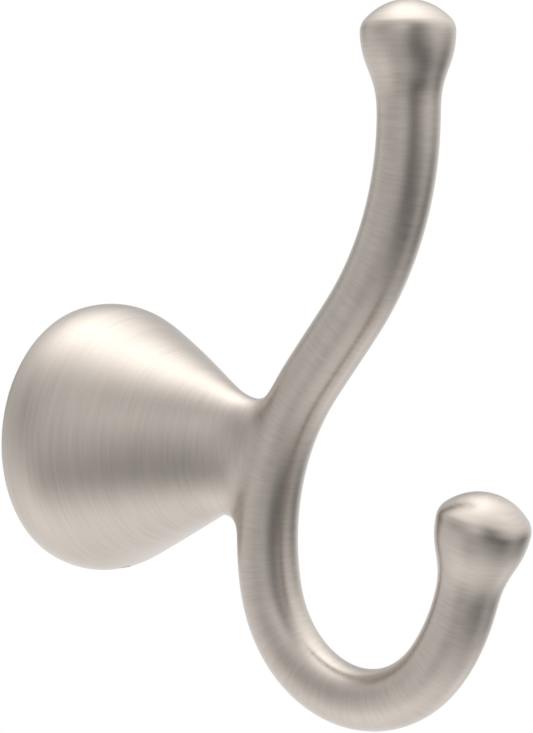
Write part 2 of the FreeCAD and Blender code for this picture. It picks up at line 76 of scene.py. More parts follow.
class HookSizes(bpy.types.PropertyGroup):
    """Sizes of the casting and of the screws' threads."""

    belly_dia: length(51.6, "Belly", "Widest diameter of the flared post")
    belly_place: length(4.7, "Belly place", "Distance of the widest place from the wall")
    belly_round: length(12.8, "Belly round", "Radius of the rounding into the cone")
    round_run: length(4, "Round run", "Length of the cone that stays round")
    neck_height: length(19, "Neck height", "Height of the oval neck")
    neck_width: length(10.4, "Neck width", "Width of the oval neck")
    neck_round: length(16, "Neck round", "Radius of the sweep from the cone into the neck")
    neck_lead: length(1.35, "Neck lead", "How far short of the bar's centreline it ends")
    meet_low: length(16.6, "Junction below", "How far below the axis neck and bar meet")
    meet_high: length(11.6, "Junction above", "How far above the axis neck and bar meet")
    rim_edge: length(0.4, "Rim edge", "Rounding of the rim's two edges")
    rim_wall: length(3, "Rim", "Width of the rim on the wall")
    mouth_run: length(9.5, "Mouth run", "Depth of the hollow's first stretch")
    mouth_draft: angle(2, "Draft", "Draft of the hollow's first stretch")
    hollow_depth: length(24, "Hollow", "Depth of the hollow")
    hollow_corner: length(1.5, "Hollow corner", "Chamfer around the hollow's floor")
    bar_dia: length(11.36, "Bar", "Diameter of the bar")
    reach: length(45, "Reach", "Least distance of the bar's centreline from the wall")
    waist_drop: length(16.3, "Waist drop", "Depth of that place below the post's axis")
    waist_bend: length(48.6, "Waist", "Centreline radius of the waist")
    arm_lean: angle(39, "Arm lean", "Lean of the upper arm where it runs straight")
    arm_run: length(14.4, "Arm run", "Length of the upper arm's straight run")
    arm_bend: length(59, "Arm", "Centreline radius of the upper arm")
    tip_lean: angle(1.1, "Tip lean", "Lean of the arm's end back towards the wall")
    waist_lead: angle(11.4, "Waist lead", "Turn of the waist below its nearest place")
    crook_bend: length(22.1, "Crook", "Centreline radius of the lower crook")
    crook_turn: angle(130.5, "Crook turn", "Turn of the lower crook")
    rise_bend: length(36.7, "Rise", "Centreline radius of the crook's rising end")
    rise_turn: angle(22.9, "Rise turn", "Turn of the crook's rising end")
    knob_dia: length(17.14, "Knob", "Diameter of the knobs")
    knob_flare: length(13.3, "Knob flare", "Length of the flare up to the widest place")
    knob_crown: length(5.85, "Crown", "Height of the knob above its widest place")
    knob_edge: length(3.6, "Knob edge", "Rounding at the knob's widest place")
    ledge_width: length(14, "Ledge width", "Width of the ledge that hangs on the bracket")
    ledge_start: length(1.4, "Ledge start", "Distance of the ledge from the wall")
    ledge_depth: length(9.5, "Ledge depth", "Distance of the ledge's front from the wall")
    ledge_seat: length(13.42, "Ledge seat", "Height of the ledge's sloped seat at its start")
    seat_angle: angle(25, "Seat angle", "Slope of the ledge's seat")
    boss_dia: length(9, "Boss", "Diameter of the boss round the set screw")
    boss_height: length(1.6, "Boss height", "Height of the boss inside the hollow")
    boss_root: length(0.9, "Boss root", "Reach of boss and ledge into the hollow's wall")
    grub_place: length(7.5, "Set screw place", "Distance of the set screw from the wall")
    grub_bore: length(4.1, "Set screw hole", "Diameter of the set screw's hole")
    grub_dia: length(4, "Set screw", "Diameter of the set screw")
    grub_pitch: length(0.7, "Set screw pitch", "Pitch of the set screw's thread")
    grub_groove: length(0.4, "Set screw groove", "Depth of the set screw's thread")
    screw_dia: length(4, "Wall screw", "Diameter of the wall screws")
    screw_pitch: length(1.8, "Wall screw pitch", "Pitch of the wall screws' thread")
    screw_groove: length(0.65, "Wall screw groove", "Depth of the wall screws' thread")
    screw_place: length(7, "Wall screw place", "Height of the wall screws off the axis")


class HookFinish(bpy.types.PropertyGroup):
    """Colours of the finishes and of the studio, as sRGB hex values."""

    nickel: StringProperty(name="Nickel", description="Brushed nickel plating",
                           default="#B5ADA5")
    zinc: StringProperty(name="Zinc", description="Zinc plated steel strip and wall screws",
                         default="#BFC2C4")
    steel: StringProperty(name="Steel", description="Plain stainless set screw",
                          default="#A3A3A2")
    floor: StringProperty(name="Floor", description="Pale paper of the floor",
                          default="#F4F3F1")


def linear(code):
    """sRGB hex value as linear red, green, blue and alpha."""
    parts = [int(code[place:place + 2], 16) / 255 for place in (1, 3, 5)]
    return [part / 12.92 if part <= 0.04045 else ((part + 0.055) / 1.055) ** 2.4
            for part in parts] + [1]


def add_node(tree, kind, inputs=None, **settings):
    """Add a node, set its properties and fill its inputs with values or other nodes' outputs."""
    node = tree.nodes.new(kind)
    for key, setting in settings.items():
        setattr(node, key, setting)
    for key, given in (inputs or {}).items():
        if isinstance(given, bpy.types.NodeSocket):
            tree.links.new(given, node.inputs[key])
        else:
            node.inputs[key].default_value = given
    return node


def new_material(name):
    """Material with an empty node tree."""
    material = bpy.data.materials.new(name)
    material.use_nodes = True
    material.node_tree.nodes.clear()
    return material


def brush_lines(tree, lines, fade, detail):
    """Noise drawn out into lines around a piece: how many lines to a metre, how soon they fade
    around it, and their detail. The piece's own map has the turn in U and metres along it in V."""
    place = add_node(tree, "ShaderNodeUVMap", uv_map="brushing").outputs["UV"]
    apart = add_node(tree, "ShaderNodeSeparateXYZ", {"Vector": place})
    turn = add_node(tree, "ShaderNodeMath", {0: apart.outputs["X"], 1: 2 * math.pi},
                    operation="MULTIPLY").outputs[0]
    cosine = add_node(tree, "ShaderNodeMath", {0: turn}, operation="COSINE").outputs[0]
    sine = add_node(tree, "ShaderNodeMath", {0: turn}, operation="SINE").outputs[0]
    around = [add_node(tree, "ShaderNodeMath", {0: part, 1: fade},
                       operation="MULTIPLY").outputs[0] for part in (cosine, sine)]
    along = add_node(tree, "ShaderNodeMath", {0: apart.outputs["Y"], 1: lines},
                     operation="MULTIPLY").outputs[0]
    spot = add_node(tree, "ShaderNodeCombineXYZ", {"X": around[0], "Y": around[1], "Z": along})
    return add_node(tree, "ShaderNodeTexNoise",
                    {"Vector": spot.outputs[0], "Scale": 1.0, "Detail": detail,
                     "Roughness": 0.6}).outputs["Fac"]


def spread(tree, value, low, high):
    """Map the range in which most of a noise's values lie to a range of its own."""
    return add_node(tree, "ShaderNodeMapRange",
                    {"Value": value, "From Min": 0.3, "From Max": 0.7, "To Min": low,
                     "To Max": high}).outputs["Result"]


def brushed_nickel(colour):
    """Nickel plate over a zinc casting, brushed around the post and around the bar before
    lacquering: a warm grey metal whose highlights run across the brush lines, with fine streaks.
    Real lines are about 0.1 mm apart, too fine to show, so they are drawn 0.45 mm apart."""
    material = new_material("brushed_nickel_plate")
    tree = material.node_tree
    line_spacing, band_spacing = 0.45 * MM, 2 * MM
    fine = brush_lines(tree, 1 / line_spacing, 1.4, 1.0)
    broad = brush_lines(tree, 1 / band_spacing, 0.8, 2.0)
    tint = add_node(tree, "ShaderNodeMath",
                    {0: spread(tree, fine, 0.945, 1.045), 1: spread(tree, broad, 0.98, 1.02)},
                    operation="MULTIPLY").outputs[0]
    base = add_node(tree, "ShaderNodeVectorMath", {0: linear(colour)[:3], "Scale": tint},
                    operation="SCALE").outputs["Vector"]
    way = add_node(tree, "ShaderNodeTangent", direction_type="UV_MAP",
                   uv_map="brushing").outputs["Tangent"]
    surface = add_node(tree, "ShaderNodeBsdfPrincipled",
                       {"Base Color": base, "Metallic": 1.0,
                        "Roughness": spread(tree, fine, 0.3, 0.34),
                        "Anisotropic": 0.3, "Anisotropic Rotation": 0.25,
                        "Tangent": way})
    add_node(tree, "ShaderNodeOutputMaterial", {"Surface": surface.outputs["BSDF"]})
    return material


def plain_metal(name, colour, roughness):
    """A plain metal with a slightly uneven sheen from its plating or its grinding."""
    material = new_material(name)
    tree = material.node_tree
    cloud_size, unevenness = 1.5 * MM, 0.05
    place = add_node(tree, "ShaderNodeTexCoord").outputs["Object"]
    cloud = add_node(tree, "ShaderNodeTexNoise",
                     {"Vector": place, "Scale": 1 / cloud_size, "Detail": 3.0}).outputs["Fac"]
    surface = add_node(tree, "ShaderNodeBsdfPrincipled",
                       {"Base Color": linear(colour), "Metallic": 1.0,
                        "Roughness": spread(tree, cloud, roughness - unevenness,
                                            roughness + unevenness)})
    add_node(tree, "ShaderNodeOutputMaterial", {"Surface": surface.outputs["BSDF"]})
    return material


# Modelling by selection and operator

def clear_selection():
    """Leave edit mode and deselect everything."""
    if bpy.context.object and bpy.context.object.mode != "OBJECT":
        bpy.ops.object.mode_set(mode="OBJECT")
    bpy.ops.object.select_all(action="DESELECT")


def begin(name, primitive, **settings):
    """Add a primitive, name it and open it for editing, everything selected."""
    clear_selection()
    primitive(**settings)
    piece = bpy.context.object
    piece.name = piece.data.name = name
    bpy.ops.object.transform_apply(location=True, rotation=True, scale=True)
    bpy.ops.object.mode_set(mode="EDIT")
    bpy.ops.mesh.select_mode(type="VERT")
    bpy.ops.mesh.select_all(action="SELECT")
    return piece


def pick(piece, kind, test):
    """In edit mode, select only the vertices, edges or faces that pass a test."""
    bpy.ops.mesh.select_mode(type={"verts": "VERT", "edges": "EDGE", "faces": "FACE"}[kind])
    bpy.ops.mesh.select_all(action="DESELECT")
    mesh = bmesh.from_edit_mesh(piece.data)
    for item in getattr(mesh, kind):
        if test(item):
            item.select_set(True)
    mesh.select_flush(True)
    bmesh.update_edit_mesh(piece.data)


def next_ring(step, stretch=(1, 1, 1), centre=(0, 0, 0)):
    """Extrude the selected ring by a step, then stretch the new ring about a centre."""
    bpy.ops.mesh.extrude_region_move(TRANSFORM_OT_translate={"value": step})
    bpy.ops.transform.resize(value=stretch, center_override=centre)


def swing_ring(centre, turn, steps):
    """Sweep the selected ring in steps about an axis along X, from +Y towards +Z."""
    bpy.ops.mesh.spin(steps=steps, angle=-turn, center=centre, axis=(1, 0, 0))


def finish_mesh():
    """Merge doubles, turn every face outwards and leave edit mode."""
    bpy.ops.mesh.select_all(action="SELECT")
    bpy.ops.mesh.remove_doubles(threshold=CLOSE)
    bpy.ops.mesh.normals_make_consistent(inside=False)
    bpy.ops.object.mode_set(mode="OBJECT")


def apply_modifier(piece, kind, **settings):
    """Add a modifier with settings and apply it."""
    clear_selection()
    piece.select_set(True)
    bpy.context.view_layer.objects.active = piece
    modifier = piece.modifiers.new(kind.title(), kind)
    for key, setting in settings.items():
        setattr(modifier, key, setting)
    bpy.ops.object.modifier_apply(modifier=modifier.name)


# Outlines: the bar's centreline, the post and the knob

def polar(centre, radius, turn):
    """Place at a radius and a turn about a centre, counted from +Y towards +Z."""
    return centre + Vector((0, radius * math.cos(turn), radius * math.sin(turn)))


class Centreline:
    """Arcs and one straight run of the bar, from the crook's end to the arm's end."""

    def __init__(self, size):
        lead, lean = size.waist_lead, size.arm_lean
        waist = Vector((0, -size.reach - size.waist_bend, -size.waist_drop))
        self.low = polar(waist, size.waist_bend, -lead)
        high = polar(waist, size.waist_bend, lean)
        self.run = polar(Vector(), size.arm_run, lean + math.pi / 2)
        arm = polar(high + self.run, size.arm_bend, lean)
        crook = polar(self.low, -size.crook_bend, -lead)
        turn = -lead - size.crook_turn
        rise = polar(crook, size.crook_bend - size.rise_bend, turn)
        self.waist, self.arm, self.crook, self.rise = waist, arm, crook, rise
        self.upper_end = polar(arm, size.arm_bend, math.pi - size.tip_lean)
        self.lower_end = polar(rise, size.rise_bend, turn - size.rise_turn)
        self.upper_way = polar(Vector(), 1, math.pi / 2 - size.tip_lean)
        self.lower_way = polar(Vector(), 1, turn - size.rise_turn - math.pi / 2)
        past = 30 * MM
        # runs have their start, way and length, past the knobs at both ends; arcs have their
        # centre, radius, first angle and turn
        self.stages = [
            ("run", self.lower_end + self.lower_way * past, -self.lower_way, past),
            ("arc", rise, size.rise_bend, turn - size.rise_turn, size.rise_turn),
            ("arc", crook, size.crook_bend, turn, size.crook_turn),
            ("arc", waist, size.waist_bend, -lead, lean + lead),
            ("run", high, self.run.normalized(), size.arm_run),
            ("arc", arm, size.arm_bend, math.pi + lean, -lean - size.tip_lean),
            ("run", self.upper_end, self.upper_way, past),
        ]

    def nearest(self, point):
        """Gap to the centreline, and its way along, nearest place and outward normal there."""
        best = None
        way = 0.0
        flat = Vector((0, point.y, point.z))
        for stage in self.stages:
            if stage[0] == "run":
                _, start, direction, reach = stage
                along = min(max((flat - start).dot(direction), 0), reach)
                place = start + direction * along
                side = Vector((0, -direction.z, direction.y))
                full = reach
            else:
                _, centre, radius, first, turn = stage
                spoke = flat - centre
                swing = math.atan2(spoke.z, spoke.y) - first
                swing = (swing + math.pi) % (2 * math.pi) - math.pi
                if turn < 0:
                    swing = -swing
                swing = min(max(swing, 0), abs(turn))
                heading = first + math.copysign(swing, turn)
                place = polar(centre, radius, heading)
                side = polar(Vector(), 1 if turn < 0 else -1, heading)
                along = radius * swing
                full = radius * abs(turn)
            gap = (point - place).length
            if best is None or gap < best[0] - CLOSE / 100:
                best = (gap, way + along, place, side)
            way += full
        return best


class PostShape:
    """Half height and half width of the post at any depth from the wall."""

    def __init__(self, size):
        self.size = size
        self.neck_start = size.reach - size.neck_lead
        apart = self.neck_start - size.belly_place
        rise = size.neck_height / 2 + size.neck_round - size.belly_dia / 2 + size.belly_round
        way = math.hypot(apart, rise)
        slope = math.asin((size.belly_round + size.neck_round) / way) - math.atan2(rise, apart)
        self.slope = slope
        self.cone_start = size.belly_place + size.belly_round * math.sin(slope)
        self.cone_top = size.belly_dia / 2 - size.belly_round * (1 - math.cos(slope))
        self.cone_end = self.neck_start - size.neck_round * math.sin(slope)
        self.round_end = self.cone_start + size.round_run
        self.rim = self.half_height(0)
        self.mouth = self.rim - size.rim_wall

    def half_height(self, depth):
        """Up to the cone an arc about the belly, then straight, then an arc into the neck."""
        size = self.size
        if depth < self.cone_start:
            drop = math.sqrt(size.belly_round ** 2 - (depth - size.belly_place) ** 2)
            return size.belly_dia / 2 - size.belly_round + drop
        if depth < self.cone_end:
            return self.cone_top - (depth - self.cone_start) * math.tan(self.slope)
        drop = math.sqrt(size.neck_round ** 2 - (self.neck_start - depth) ** 2)
        return size.neck_height / 2 + size.neck_round - drop

    def half_width(self, depth):
        """As high as wide up to the round end, then easing into the narrower neck."""
        size = self.size
        share = (depth - self.round_end) / (self.neck_start - self.round_end)
        share = min(max(share, 0), 1)
        slim = (size.neck_height - size.neck_width) / 2 * share ** 2 * (3 - 2 * share)
        return self.half_height(depth) - slim


def knob_outline(size):
    """Heights and radii of the knob's rings, from the bar to just short of the pole."""
    bar, knob, edge = size.bar_dia / 2, size.knob_dia / 2, size.knob_edge
    flare, crown = size.knob_flare, size.knob_crown
    swing = 2 * math.atan((knob - bar) / flare)
    sweep = flare / (2 * math.sin(swing))
    rings = []
    for share in (0.33, 0.67, 1):
        turn = swing * share
        rings.append((sweep * math.sin(turn), bar + sweep * (1 - math.cos(turn))))
    for share in (0.67, 0.33, 0):
        turn = swing * share
        rings.append((flare - sweep * math.sin(turn), knob - sweep * (1 - math.cos(turn))))
    inner = knob - edge
    dome = (inner ** 2 + crown ** 2 - edge ** 2) / (2 * (crown - edge))
    lift = math.atan2(dome - crown, inner)
    for share in (0.33, 0.67, 1):
        turn = lift * share
        rings.append((flare + edge * math.sin(turn), inner + edge * math.cos(turn)))
    tilt = math.pi / 2 - lift
    for share in (0.72, 0.46, 0.22):
        turn = tilt * share
        rings.append((flare + crown - dome * (1 - math.cos(turn)), dome * math.sin(turn)))
    return rings, flare + crown


# The casting: a cage that the subdivision rounds, with so many sides around its bar and post, and
# a hole for the neck this far to each side of the bar
BAR_SIDES = 24
POST_SIDES = 36
HOLE_TURN = math.radians(75)
# Depths of the post's rings from the wall, in millimetres, from the belly into the neck
POST_DEPTHS = (1.6, 3.2, 4.8, 6.6, 8.6, 10.8, 13.2, 16, 19, 22, 25, 27.8, 30.4, 32.6)


def shrunk(sides):
    """Share that a subdivided ring keeps of its cage's radius."""
    return (2 + math.cos(2 * math.pi / sides)) / 3


def add_knob(size, end, way):
    """Extrude a knob from the selected end ring of the bar."""
    rings, height = knob_outline(size)
    before_height, before_radius = 0.0, size.bar_dia / 2
    for ring_height, radius in rings:
        share = radius / before_radius
        next_ring(way * (ring_height - before_height), (share,) * 3, end + way * ring_height)
        before_height, before_radius = ring_height, radius
    bpy.ops.mesh.extrude_region_move(
        TRANSFORM_OT_translate={"value": way * (height - before_height)})
    bpy.ops.mesh.merge(type="CENTER")


def add_bar(size, line):
    """Bar and knobs: one ring is swept both ways along the centreline and into the knobs."""
    outside = size.waist_bend + size.bar_dia / 2
    foot = math.asin((size.waist_drop - size.meet_low) / outside)
    head = math.asin((size.waist_drop + size.meet_high) / outside)
    bar = begin("hook_casting", bpy.ops.mesh.primitive_circle_add, vertices=BAR_SIDES,
                radius=size.bar_dia / 2 / shrunk(BAR_SIDES), location=line.low,
                rotation=(-size.waist_lead, 0, 0))
    swing_ring(line.waist, foot + size.waist_lead, 3)
    swing_ring(line.waist, head - foot, 8)
    swing_ring(line.waist, size.arm_lean - head, 2)
    for _ in range(4):
        next_ring(line.run / 4)
    swing_ring(line.arm, -size.arm_lean - size.tip_lean, 11)
    add_knob(size, line.upper_end, line.upper_way)
    pick(bar, "verts", lambda vert: abs((vert.co - line.low).dot(
        polar(Vector(), 1, math.pi / 2 - size.waist_lead))) < CLOSE / 10
        and (vert.co - line.low).length < size.bar_dia)
    swing_ring(line.crook, -size.crook_turn, 14)
    swing_ring(line.rise, -size.rise_turn, 4)
    add_knob(size, line.lower_end, line.lower_way)
    return bar, foot, head


def open_hole(bar, size, line, foot, head):
    """Take out the bar's faces where the neck comes in."""
    def inside(face):
        middle = face.calc_center_median()
        spoke = Vector((0, middle.y, middle.z)) - line.waist
        turn = math.atan2(spoke.z, spoke.y)
        swing = math.atan2(abs(middle.x), spoke.length - size.waist_bend)
        return foot < turn < head and swing < HOLE_TURN and middle.y > line.waist.y
    pick(bar, "faces", inside)
    bpy.ops.mesh.delete(type="FACE")


def post_rings(size, shape):
    """Depths, half heights and half widths of the post's rings, from the rim to the neck's end."""
    edge = size.rim_edge
    rings = [(edge, shape.half_height(edge), shape.half_width(edge))]
    for depth in POST_DEPTHS:
        place = depth * MM
        rings.append((place, shape.half_height(place), shape.half_width(place)))
    return rings


def add_post(size, shape):
    """Post from the rim's inner corner, over the rim and along the flare into the neck."""
    grow = 1 / shrunk(POST_SIDES)
    start = shape.rim - size.rim_edge
    bpy.ops.mesh.select_mode(type="VERT")
    bpy.ops.mesh.primitive_circle_add(vertices=POST_SIDES, radius=start * grow,
                                      rotation=(math.pi / 2, 0, 0))
    depth, high, wide = 0.0, start, start
    for place, half_height, half_width in post_rings(size, shape):
        next_ring((0, depth - place, 0), (half_width / wide, 1, half_height / high),
                  (0, -place, 0))
        depth, high, wide = place, half_height, half_width
    return depth


def add_hollow(bar, size, shape):
    """Flat rim and the hollow behind it, from the rim's outer corner to the floor's centre."""
    start = shape.rim - size.rim_edge
    pick(bar, "verts", lambda vert: abs(vert.co.y) < CLOSE / 10
         and abs(math.hypot(vert.co.x, vert.co.z) - start / shrunk(POST_SIDES)) < CLOSE)
    shoulder = shape.mouth - size.mouth_run * math.tan(size.mouth_draft)
    taper = math.tan(shape.slope)
    floor = shoulder - (size.hollow_depth - size.mouth_run) * taper
    corner = size.hollow_corner
    # rings this near to a corner keep it crisp under the subdivision
    hold = 0.5 * MM
    outline = [
        (0, shape.rim - size.rim_wall / 2),
        (0, shape.mouth + size.rim_edge),
        (size.rim_edge, shape.mouth),
        (size.rim_edge * 3, shape.mouth),
        (size.mouth_run / 2, (shape.mouth + shoulder) / 2),
        (size.mouth_run - 2 * hold, shoulder),
        (size.mouth_run + 2 * hold, shoulder - 2 * hold * taper),
        ((size.mouth_run + size.hollow_depth) / 2, (shoulder + floor) / 2),
        (size.hollow_depth - corner - hold, floor + (corner + hold) * taper),
        (size.hollow_depth - corner / 2, floor - corner / 3),
        (size.hollow_depth, floor - corner - hold),
        (size.hollow_depth, floor / 2),
    ]
    depth, high = 0.0, start
    for place, radius in outline:
        next_ring((0, depth - place, 0), (radius / high,) * 3, (0, -place, 0))
        depth, high = place, radius
    bpy.ops.mesh.extrude_region_move(TRANSFORM_OT_translate={"value": (0, 0, 0)})
    bpy.ops.mesh.merge(type="CENTER")


def cut_or_join(bar, tool, operation):
    """Apply a boolean with another mesh, and remove that mesh."""
    finish_mesh()
    apply_modifier(bar, "BOOLEAN", object=tool, operation=operation, solver="EXACT")
    bpy.data.objects.remove(tool)


def add_ledge(bar, size, shape):
    """Ledge inside the hollow, with the sloped seat that rests on the bracket's upper wing."""
    low, high = size.ledge_seat, shape.mouth + size.boss_root
    run = size.ledge_depth - size.ledge_start
    clear_selection()
    bpy.ops.mesh.primitive_cube_add(
        size=1, location=(0, -size.ledge_start - run / 2, (low + high) / 2),
        scale=(size.ledge_width, run, high - low))
    ledge = bpy.context.object
    bpy.ops.object.transform_apply(location=True, rotation=True, scale=True)
    bpy.ops.object.mode_set(mode="EDIT")
    pick(ledge, "verts", lambda vert: vert.co.z < low + MM and vert.co.y < -size.ledge_start - MM)
    bpy.ops.transform.translate(value=(0, 0, run * math.tan(size.seat_angle)))
    cut_or_join(bar, ledge, "UNION")


def add_boss(bar, size, shape):
    """Boss at the bottom of the hollow and the set screw's hole through it."""
    top, bottom = size.boss_height - shape.mouth, -size.boss_root - shape.mouth
    for radius, high, low, operation in (
            (size.boss_dia / 2, top, bottom, "UNION"),
            (size.grub_bore / 2, top + MM, -size.belly_dia / 2 - MM, "DIFFERENCE")):
        clear_selection()
        bpy.ops.mesh.primitive_cylinder_add(
            vertices=48, radius=radius, depth=high - low,
            location=(0, -size.grub_place, (high + low) / 2))
        tool = bpy.context.object
        bpy.ops.object.transform_apply(location=True, rotation=True, scale=True)
        bpy.ops.object.mode_set(mode="EDIT")
        cut_or_join(bar, tool, operation)


def join_neck(bar, neck_depth):
    """Bridge the neck's end to the hole in the bar."""
    def on_hole(edge):
        return edge.is_boundary and edge.verts[0].co.y < -neck_depth - CLOSE

    def on_neck(edge):
        return edge.is_boundary and abs(edge.verts[0].co.y + neck_depth) < CLOSE

    pick(bar, "edges", lambda edge: on_hole(edge) or on_neck(edge))
    bpy.ops.mesh.bridge_edge_loops(type="SINGLE", number_cuts=3, interpolation="SURFACE",
                                   smoothness=1.0)


def mark_junction(bar, size, line, neck_depth, foot, head):
    """Group the vertices between the neck's last ring and the bar around the hole."""
    slack = math.radians(0.06)

    def between(vert):
        spoke = Vector((0, vert.co.y, vert.co.z)) - line.waist
        turn = math.atan2(spoke.z, spoke.y)
        swing = math.atan2(abs(vert.co.x), spoke.length - size.waist_bend)
        near = foot - slack < turn < head + slack and swing < HOLE_TURN + slack
        return near and line.waist.y < vert.co.y < -neck_depth - CLOSE

    pick(bar, "verts", between)
    bpy.ops.object.vertex_group_add()
    bar.vertex_groups.active.name = "junction"
    bpy.ops.object.vertex_group_assign()


def settle_junction(bar, rounds):
    """Relax the faces between neck and bar and lay them on the fillet of the solid casting."""
    for _ in range(rounds):
        clear_selection()
        bar.select_set(True)
        bpy.context.view_layer.objects.active = bar
        bpy.ops.object.mode_set(mode="EDIT")
        bpy.ops.mesh.select_mode(type="VERT")
        bpy.ops.mesh.select_all(action="DESELECT")
        bpy.ops.object.vertex_group_select()
        bpy.ops.mesh.vertices_smooth(factor=0.5, repeat=2)
        bpy.ops.object.mode_set(mode="OBJECT")
        apply_modifier(bar, "SHRINKWRAP", target=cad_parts["hook_body"],
                       wrap_method="NEAREST_SURFACEPOINT", wrap_mode="ABOVE_SURFACE",
                       offset=0.05 * MM, vertex_group="junction")


def smooth(piece):
    """Shade a piece smooth, apart from its edges."""
    clear_selection()
    piece.select_set(True)
    bpy.context.view_layer.objects.active = piece
    bpy.ops.object.shade_smooth_by_angle(angle=SMOOTH_ANGLE)


class HOOK_OT_casting(bpy.types.Operator):
    """Model the casting: flared post, bar and knobs, and the hollow behind"""

    bl_idname = "robe_hook.casting"
    bl_label = "Casting"

    def execute(self, context):
        size = context.scene.hook_sizes
        line = Centreline(size)
        shape = PostShape(size)
        bar, foot, head = add_bar(size, line)
        open_hole(bar, size, line, foot, head)
        neck_depth = add_post(size, shape)
        add_hollow(bar, size, shape)
        join_neck(bar, neck_depth)
        mark_junction(bar, size, line, neck_depth, foot, head)
        finish_mesh()
        settle_junction(bar, 8)
        apply_modifier(bar, "SUBSURF", levels=2, render_levels=2)
        add_ledge(bar, size, shape)
        add_boss(bar, size, shape)
        smooth(bar)
        map_brushing(bar, size, line, shape)
        bar.data.materials.append(brushed_nickel(context.scene.hook_finish.nickel))
        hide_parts("hook_body")
        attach(bar, "root")
        return {"FINISHED"}


def map_brushing(piece, size, line, shape):
    """Lay out the brush lines: the turn around the bar or the post, and metres along it."""
    layer = piece.data.uv_layers.new(name="brushing")
    places = []
    for vert in piece.data.vertices:
        gap, way, place, side = line.nearest(vert.co)
        spoke = vert.co - place
        on_bar = (math.atan2(vert.co.x, -spoke.dot(side)) / (2 * math.pi), way)
        on_post = (math.atan2(vert.co.x, vert.co.z) / (2 * math.pi), -vert.co.y)
        places.append((gap, on_bar, on_post))
    bar_skin = size.bar_dia / 2 * 1.1
    past_post = size.belly_dia / 2 + MM
    past_neck = -size.reach - 3 * MM
    for face in piece.data.polygons:
        middle = face.center
        gap = sum(places[index][0] for index in face.vertices) / len(face.vertices)
        bar = gap < bar_skin or abs(middle.z) > past_post or middle.y < past_neck
        turns = [places[index][1 if bar else 2] for index in face.vertices]
        first = turns[0][0]
        for loop, (turn, way) in zip(face.loop_indices, turns):
            layer.data[loop].uv = (turn - round(turn - first) + 0.5, way)


def dress_copy(node, name, material):
    """Merged copy of a solid, in its material, which stands for it."""
    clear_selection()
    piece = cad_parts[node].copy()
    piece.data = piece.data.copy()
    piece.name = piece.data.name = name
    bpy.context.collection.objects.link(piece)
    piece.select_set(True)
    bpy.context.view_layer.objects.active = piece
    bpy.ops.object.mode_set(mode="EDIT")
    bpy.ops.mesh.select_all(action="SELECT")
    finish_mesh()
    piece.data.materials.clear()
    piece.data.materials.append(material)
    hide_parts(node)
    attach(piece, "root")
    return piece


# How far the cutting triangle stands out of the thread's crest, half its height there as a share
# of the pitch, and its steps to a turn
GROOVE_OVER = 0.3 * MM
GROOVE_SHARE = 0.42
GROOVE_STEPS = 18


def cut_thread(screw, radius, depth, pitch, run, spot, tilt):
    """Cut a right-handed V groove: a triangle wound about an axis, then moved to the screw's.
    The run is from and to along the axis, which starts as Z and is tilted about X."""
    # a triangle of radius 1 is 1.5 deep and twice the sine of 60 degrees high
    tall = GROOVE_SHARE * pitch * (depth + GROOVE_OVER) / depth / math.sin(math.pi / 3)
    wide = (depth + GROOVE_OVER) / 1.5
    centre = (radius - depth + wide, 0, run[0])
    groove = begin("groove", bpy.ops.mesh.primitive_circle_add, vertices=3, radius=1,
                   location=centre, rotation=(math.pi / 2, -math.pi / 2, 0))
    bpy.ops.transform.resize(value=(wide, 1, tall), center_override=centre)
    bpy.ops.object.mode_set(mode="OBJECT")
    turns = round((run[1] - run[0]) / pitch)
    apply_modifier(groove, "SCREW", axis="Z", screw_offset=pitch, iterations=turns,
                   steps=GROOVE_STEPS, render_steps=GROOVE_STEPS)
    groove.rotation_euler = (tilt, 0, 0)
    groove.location = spot
    bpy.ops.object.transform_apply(location=True, rotation=True, scale=True)
    bpy.ops.object.mode_set(mode="EDIT")
    bpy.ops.mesh.select_mode(type="VERT")
    bpy.ops.mesh.select_all(action="DESELECT")
    bpy.ops.mesh.select_non_manifold()
    bpy.ops.mesh.fill_holes(sides=0)
    bpy.ops.mesh.select_all(action="SELECT")
    cut_or_join(screw, groove, "DIFFERENCE")


class HOOK_OT_bracket(bpy.types.Operator):
    """Dress the hidden strip bracket"""

    bl_idname = "robe_hook.bracket"
    bl_label = "Bracket"

    def execute(self, context):
        # bent from zinc plated strip: a cool, fairly dull grey that shows the bends softly
        material = plain_metal("zinc_plated_steel_strip", context.scene.hook_finish.zinc, 0.38)
        smooth(dress_copy("wall_bracket", "strip_bracket", material))
        return {"FINISHED"}


class HOOK_OT_screws(bpy.types.Operator):
    """Dress the set screw and the two wall screws, and cut their threads"""

    bl_idname = "robe_hook.screws"
    bl_label = "Screws"

    def execute(self, context):
        size, finish = context.scene.hook_sizes, context.scene.hook_finish
        # turned from stainless bar and left bare: darker than zinc, with a tighter sheen
        stainless = plain_metal("turned_stainless_set_screw", finish.steel, 0.28)
        grub = dress_copy("set_screw", "threaded_set_screw", stainless)
        grub_run = (-26 * MM, -15 * MM)
        cut_thread(grub, size.grub_dia / 2, size.grub_groove, size.grub_pitch, grub_run,
                   (0, -size.grub_place, 0), 0)
        smooth(grub)
        # rolled, then bright zinc plated: cool and light, with crisp lines along the threads
        bright_zinc = plain_metal("bright_zinc_plated_screws", finish.zinc, 0.3)
        pair = dress_copy("wall_screws", "threaded_wall_screws", bright_zinc)
        screw_run = (3.5 * MM, 22 * MM)
        for height in (size.screw_place, -size.screw_place):
            cut_thread(pair, size.screw_dia / 2, size.screw_groove, size.screw_pitch, screw_run,
                       (0, 0, height), -math.pi / 2)
        smooth(pair)
        return {"FINISHED"}


# Studio

# The hook's middle as the camera sees it
MIDDLE = Vector((0, -0.0448, 0.0159))
FLOOR_HEIGHT = -0.16
FLOOR_RADIUS = 0.5
